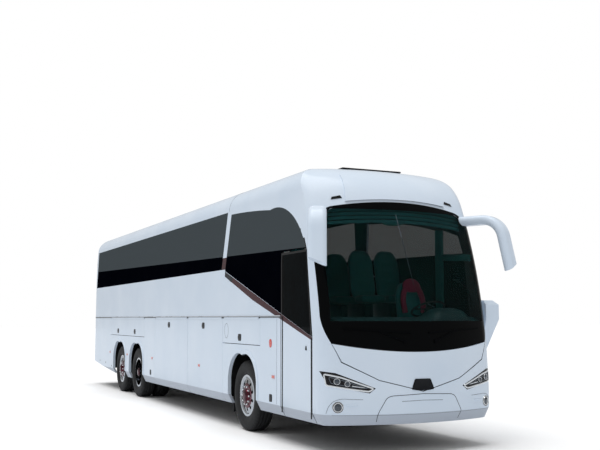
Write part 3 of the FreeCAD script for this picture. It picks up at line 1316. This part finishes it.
def make_engine():
    """The power unit as one block between the rear rails."""
    body = new_body("engine_block")
    rear = tail + S.engine_rear_gap
    half = (S.frame_spacing - S.frame_rail_width) / 2
    sketch = polygon_sketch(body, "YZ_Plane", [(-half, S.engine_bottom), (half, S.engine_bottom),
                                               (half, S.engine_bottom + S.engine_height),
                                               (-half, S.engine_bottom + S.engine_height)])
    pad(body, sketch, S.engine_length)
    move(body, rear)
    keep("engine_block", body)


def make_deck():
    """Saloon deck, the riser at its front and the driver's platform, in one profile."""
    body = new_body("floor_deck")
    rear = rear_post + S.seam * 2
    front = station(S.deck_front)
    platform = station(S.platform_front)
    under = S.deck_height - S.deck_thickness
    sketch = polygon_sketch(body, "XZ_Plane", [
        (rear, under), (front - S.deck_thickness, under), (front - S.deck_thickness,
                                                           S.platform_height - S.deck_thickness),
        (platform, S.platform_height - S.deck_thickness), (platform, S.platform_height),
        (front, S.platform_height), (front, S.deck_height), (rear, S.deck_height)])
    pad(body, sketch, 2 * inner_face, midplane=True)
    well_rear = station(S.door_rear)
    well = polygon_sketch(body, "XY_Plane", [
        (well_rear, -half_width), (platform + S.overrun, -half_width), (platform + S.overrun, -S.aisle_edge),
        (well_rear, -S.aisle_edge)])
    pocket_through(body, well)
    for rear_lid, front_lid in ((S.rear_flap_rear, S.rear_flap_front), (S.bay_rear, S.front_flap_front)):
        for side in (RIGHT, LEFT):
            edge = side * (inner_face - S.seam)
            rear, front = station(rear_lid) - S.seam, station(front_lid) + S.seam
            pocket_through(body, polygon_sketch(body, "XY_Plane", [
                (rear, edge), (front, edge), (front, side * far), (rear, side * far)]))
    return body


def make_steps():
    """Stair from the doorway up to the platform, as a folded plate, in the YZ plane."""
    body = new_body("entrance_steps")
    corners_top = []
    y = -half_width + S.post_inset + S.post_foot
    z = S.step_bottom
    outer = y
    count = int(float(S.step_count))
    rise = (S.platform_height - S.step_thickness - S.step_bottom) / S.step_count
    for index in range(count):
        corners_top += [(y, z + S.step_thickness), (y + S.step_run, z + S.step_thickness)]
        y = y + S.step_run
        z = z + rise
    corners_top += [(y, z + S.step_thickness), (-S.aisle_edge, z + S.step_thickness)]
    lower = [(-S.aisle_edge, z), (y + S.step_thickness, z)]
    for index in range(count):
        z = z - rise
        lower += [(y + S.step_thickness, z), (y - S.step_run + S.step_thickness, z)]
        y = y - S.step_run
    lower[-1] = (outer, z)
    sketch = polygon_sketch(body, "YZ_Plane", corners_top + lower)
    width = S.door_front - S.door_rear - S.door_seam * 2
    pad(body, sketch, width)
    move(body, station(S.door_rear) + S.door_seam)
    return body


def make_hold():
    """Luggage floor with three bulkheads up to the deck."""
    under = S.deck_height - S.deck_thickness
    bottom = S.hold_floor - S.hold_floor_thickness
    front = station(S.bay_front) + S.seam
    rear = station(S.bay_rear) - S.seam
    half = inner_face - S.skirt_tuck
    hold = box(rear - S.bulkhead, front + S.bulkhead, -half, half, bottom, S.hold_floor)
    for x in (rear - S.bulkhead, station(S.bay_split) - S.bulkhead / 2, front):
        hold = hold.fuse(box(x, x + S.bulkhead, -half, half, S.hold_floor, under))
    feature("luggage_hold", solid_of(hold.removeSplitter()))


def make_wheel_houses():
    """Tubs over the wheels, each welded up from flat plates, open below and outwards."""
    outer = half_width - S.wall
    under = S.house_top - S.house_wall
    spans = {"front_wheel_houses": (front_axle - S.house_half_length, front_axle + S.house_half_length, S.house_inner),
             "rear_wheel_houses": (tag_axle - S.house_half_length, drive_axle + S.house_half_length,
                                   S.rear_house_inner)}
    for node, (rear, front, inner) in spans.items():
        houses = []
        for side in (RIGHT, LEFT):
            side_plate = box(rear, front, side * inner, side * (inner + S.house_wall), S.crease_height, under)
            for centre in (front_axle, drive_axle, tag_axle):
                notch = S.axle_tube_radius + S.axle_travel / 2
                side_plate = side_plate.cut(box(centre - notch, centre + notch, side * (inner - S.seam),
                                                side * (inner + S.house_wall + S.seam), low,
                                                hub_height + S.axle_tube_radius + S.axle_travel))
            houses += [side_plate, box(rear, front, side * inner, side * outer, under, S.house_top)]
            for end in (rear, front - S.house_wall):
                houses.append(box(end, end + S.house_wall, side * (inner + S.house_wall), side * outer,
                                  S.crease_height, under))
        feature(node, Part.makeCompound(houses))


def make_mudflaps():
    flaps = []
    for centre in (front_axle, tag_axle):
        for side in (RIGHT, LEFT):
            x = centre - S.house_half_length - S.mudflap_thickness
            outer = side * (inner_face - S.skirt_tuck - S.seam)
            top = S.crease_height + S.mudflap_height / 2
            flaps.append(box(x, x + S.mudflap_thickness, outer, outer - side * S.mudflap_width,
                             S.mudflap_bottom, top))
    feature("mudflaps", Part.makeCompound(flaps))


# Fittings outside

def make_mirrors():
    """Hanging mirrors: a broad horn out of the roof's corner that bends down into the housing, one sweep each."""
    mirrors = []
    upwards = Vector(0, 0, 1)
    bend = float(S.mirror_bend)
    lean = math.radians(float(S.mirror_lean))
    for side in (RIGHT, LEFT):
        root = point(station(S.mirror_root_station), side * S.mirror_root_y, S.mirror_crest)
        reach = point(station(S.mirror_reach_station), side * S.mirror_reach_y, S.mirror_crest)
        outwards = (reach - root).normalize()
        start = reach - outwards * bend
        turn = math.pi / 2 - lean
        middle, end = [start + upwards * (bend * (math.cos(angle) - 1)) + outwards * (bend * math.sin(angle))
                       for angle in (turn / 2, turn)]
        # below the bend the housing leans on outwards, to past its sloping foot
        drop = end.z - float(S.mirror_bottom - S.mirror_slope)
        tip = end + outwards * (drop * math.tan(lean)) - upwards * drop
        path = Part.Wire([Part.LineSegment(root, start).toShape(), Part.Arc(start, middle, end).toShape(),
                          Part.LineSegment(end, tip).toShape()])
        horn = path.makePipeShell([mirror_section(root, outwards)], True, True).cut(full_form)
        inner, outer = S.mirror_reach_y - S.mirror_width, S.mirror_reach_y + S.mirror_width
        foot = ahead([(side * inner, S.mirror_bottom - S.mirror_slope), (side * outer, S.mirror_bottom + S.mirror_slope),
                      (side * outer, low), (side * inner, low)])
        mirrors.append(max(horn.cut(foot).Solids, key=lambda solid: solid.Volume))
    feature("mirrors", Part.makeCompound(mirrors + [make_low_mirror()]))


def make_low_mirror():
    """Housing of the low mirror beside the driver's window, wide at its top and narrow at its foot."""
    seat = half_width + S.touch_gap
    out = seat + S.low_mirror_reach
    top, bottom, rounding = S.low_mirror_top, S.low_mirror_bottom, S.low_mirror_round
    height = top - bottom
    front_view = ahead([(seat, bottom), (seat, top), (out - rounding, top), (out, top - rounding),
                        (out, bottom + height * low_mirror_shoulder_share),
                        (seat + S.low_mirror_reach * low_mirror_foot_share, bottom)])
    rear, front = station(S.low_mirror_rear), station(S.low_mirror_front)
    side_view = side_prism([(rear, bottom), (rear, top - rounding), (rear + rounding, top), (front - rounding, top),
                            (front, top - rounding), (front, bottom + height * low_mirror_shoulder_share),
                            (front - rounding * 2, bottom)], seat, out)
    return solid_of(front_view.common(side_view))


def mirror_section(centre, heading):
    """Flat section with round ends, square to the heading."""
    rise = Vector(0, 0, float(S.mirror_depth) / 2)
    across_it = heading.cross(Vector(0, 0, 1)).normalize()
    reach = across_it * (float(S.mirror_width - S.mirror_depth) / 2)
    bulge = across_it * (float(S.mirror_width) / 2)
    return Part.Wire([Part.LineSegment(centre - reach + rise, centre + reach + rise).toShape(),
                      Part.Arc(centre + reach + rise, centre + bulge, centre + reach - rise).toShape(),
                      Part.LineSegment(centre + reach - rise, centre - reach - rise).toShape(),
                      Part.Arc(centre - reach - rise, centre - bulge, centre - reach + rise).toShape()])


def marker_block(distance, side):
    """One side marker lamp, proud of the panel that it sits on."""
    x = station(distance)
    return box(x - S.marker_length / 2, x + S.marker_length / 2, side * half_width,
               side * (half_width + S.marker_proud), S.marker_z, S.marker_z + S.marker_height)


def roof_lamp_outline(side):
    """Slot-shaped lamp above a corner of the windshield, its outer end lower."""
    inner, outer = S.roof_lamp_y - S.roof_lamp_length / 2, S.roof_lamp_y + S.roof_lamp_length / 2
    rise, drop = S.roof_lamp_height / 2, S.roof_lamp_drop / 2
    return [(side * inner, S.roof_lamp_z + drop - rise), (side * outer, S.roof_lamp_z - drop - rise),
            (side * (outer - rise), S.roof_lamp_z - drop + rise), (side * (inner + rise), S.roof_lamp_z + drop + rise)]


def make_markers():
    """Side markers, and the two roof marker lamps in the cap's brow."""
    lamps = [marker_block(distance, side) for distance in (S.marker_a, S.marker_b, S.marker_c, S.marker_d)
             for side in (RIGHT, LEFT)]
    for side in (RIGHT, LEFT):
        cutter = ahead(roof_lamp_outline(side))
        proud = full_form.translated(Vector(float(S.marker_proud), 0, 0)).cut(full_form)
        lamps.append(max(proud.common(cutter).Solids, key=lambda solid: solid.Volume))
    feature("marker_lamps", Part.makeCompound(lamps))


# Inside, seen through the glass

def make_dash():
    """Console on the platform with a shelf that reaches forwards to the windshield's foot."""
    rear = station(S.dash_rear)
    back = station(S.dash_back_station)
    toe = station(S.dash_toe_station)
    profile = [(toe, S.platform_height), (station(S.platform_front), S.platform_height),
               (station(S.bulkhead_station) - S.seam, S.dash_under),
               (nose, S.dash_under), (nose, S.dash_shelf), (back, S.dash_shelf + S.deck_thickness),
               (toe, S.dash_top), (rear, S.dash_top), (rear, S.dash_top - S.deck_thickness)]
    half = inner_face - S.dash_clear
    console = side_prism(profile, -half, half).common(body_form(float(S.wall + S.dash_clear)))
    doorway = box(low, nose, -far, -S.aisle_edge, low, S.dash_under)
    feature("dashboard", solid_of(console.cut(doorway)))


def make_steering_wheel():
    """Rim of many-sided grip on two spokes and a hub, on a column that leans out of the console."""
    centre = point(station(S.steering_station), S.driver_seat_y, S.steering_height)
    tilt = math.radians(float(S.steering_tilt))
    axis = Vector(-math.sin(tilt), 0, math.cos(tilt))
    radial = Vector(math.cos(tilt), 0, math.sin(tilt))
    sides = int(float(S.grip_sides))
    grip, radius = float(S.steering_grip), float(S.steering_radius)
    corners = []
    for index in range(sides + 1):
        turn = 2 * math.pi * (index % sides) / sides
        corners.append(centre + radial * (radius + grip * math.cos(turn)) + axis * (grip * math.sin(turn)))
    wheel = Part.Face(Part.makePolygon(corners)).revolve(centre, axis, 360)
    hub_height = float(S.steering_hub_height)
    wheel = wheel.fuse(rod(centre - axis * hub_height, axis, S.steering_hub_radius, hub_height))
    for direction in (Vector(0, 1, 0), radial):
        wheel = wheel.fuse(rod(centre - direction * radius, direction, S.spoke_radius, 2 * radius))
    column = rod(centre - axis * float(S.column_length), axis, S.column_radius, S.column_length)
    steering = wheel.fuse(column).cut(sub_parts["dashboard"].Shape)
    feature("steering_wheel", max(steering.Solids, key=lambda solid: solid.Volume))


def make_seats():
    """Double seats in rows on the deck, and the driver's seat on its platform."""
    seats = []
    width = 2 * S.seat_width
    for index in range(int(float(S.seat_rows))):
        x = station(S.seat_first) - S.seat_pitch * index
        for side in (RIGHT, LEFT):
            y = side * (half_width - S.wall - S.seat_wall_gap)
            seats.append(seat_profile(x, S.deck_height, min(float(y), float(y - side * width)), float(width)))
    seats.append(seat_profile(station(S.driver_seat_station), S.platform_height,
                              float(S.driver_seat_y - S.seat_width / 2), float(S.seat_width)))
    feature("seats", Part.makeCompound(seats))


def seat_profile(x, floor, y, width):
    """Pedestal, cushion and raked back in one side profile."""
    thick = S.seat_thickness
    base = S.seat_base
    corners = [(x - base, floor), (x + base, floor), (x + base, floor + S.seat_height - thick),
               (x + S.seat_depth / 2, floor + S.seat_height - thick), (x + S.seat_depth / 2, floor + S.seat_height),
               (x - S.seat_depth / 2 + thick, floor + S.seat_height),
               (x - S.seat_depth / 2 + thick - S.seat_rake, floor + S.seat_height + S.seat_back),
               (x - S.seat_depth / 2 - S.seat_rake, floor + S.seat_height + S.seat_back),
               (x - S.seat_depth / 2, floor + S.seat_height - thick), (x - base, floor + S.seat_height - thick)]
    return side_prism(corners, y, y + width)


def check_and_write():
    """Stops on any failed object or bad shape, then writes each sub-part to its own file."""
    doc.recompute()
    failed = [item.Name for item in doc.Objects if {"Invalid", "Error"} & set(item.State)]
    bad = [node for node, thing in sub_parts.items() if thing.Shape.isNull() or not thing.Shape.isValid()]
    if failed or bad:
        sys.exit(f"failed objects {failed}, bad shapes {bad}")
    os.makedirs("parts", exist_ok=True)
    for node, thing in sub_parts.items():
        thing.Shape.exportStep(f"parts/{node}.step")
        extent = thing.Shape.BoundBox
        print(f"{node}: {len(thing.Shape.Solids)} solids, {thing.Shape.Volume / 1e6:.1f} dm3, "
              f"x {extent.XMin:.0f}..{extent.XMax:.0f}, y {extent.YMin:.0f}..{extent.YMax:.0f}, "
              f"z {extent.ZMin:.0f}..{extent.ZMax:.0f}")


def build():
    panes = []
    rails = []
    skirts = []
    for side in (RIGHT, LEFT):
        wall, skirt, side_panes = make_side(side)
        feature(f"side_wall_{SIDE_NAMES[side]}", wall)
        skirts += skirt.Solids
        panes += side_panes
        rail, strips = make_side_hinges(side)
        rails.append(rail)
        make_lids(side, strips)
    feature("side_skirts", Part.makeCompound(skirts))
    make_front()
    make_wipers()
    make_roof()
    rear_pane, rear_rail = make_rear()
    feature("side_and_rear_windows", Part.makeCompound(panes + rear_pane.Solids))
    feature("hinge_rails", Part.makeCompound(rails + [rear_rail]))
    make_door()
    make_door_arm()
    make_front_bulkhead()
    make_lift_arms()
    make_wheels()
    make_axle_beams()
    for side in (RIGHT, LEFT):
        make_knuckle(side)
    make_air_springs()
    make_chassis()
    make_engine()
    keep("floor_deck", make_deck())
    keep("entrance_steps", make_steps())
    make_hold()
    make_wheel_houses()
    make_mudflaps()
    make_mirrors()
    make_markers()
    make_dash()
    make_steering_wheel()
    make_seats()


build()
check_and_write()
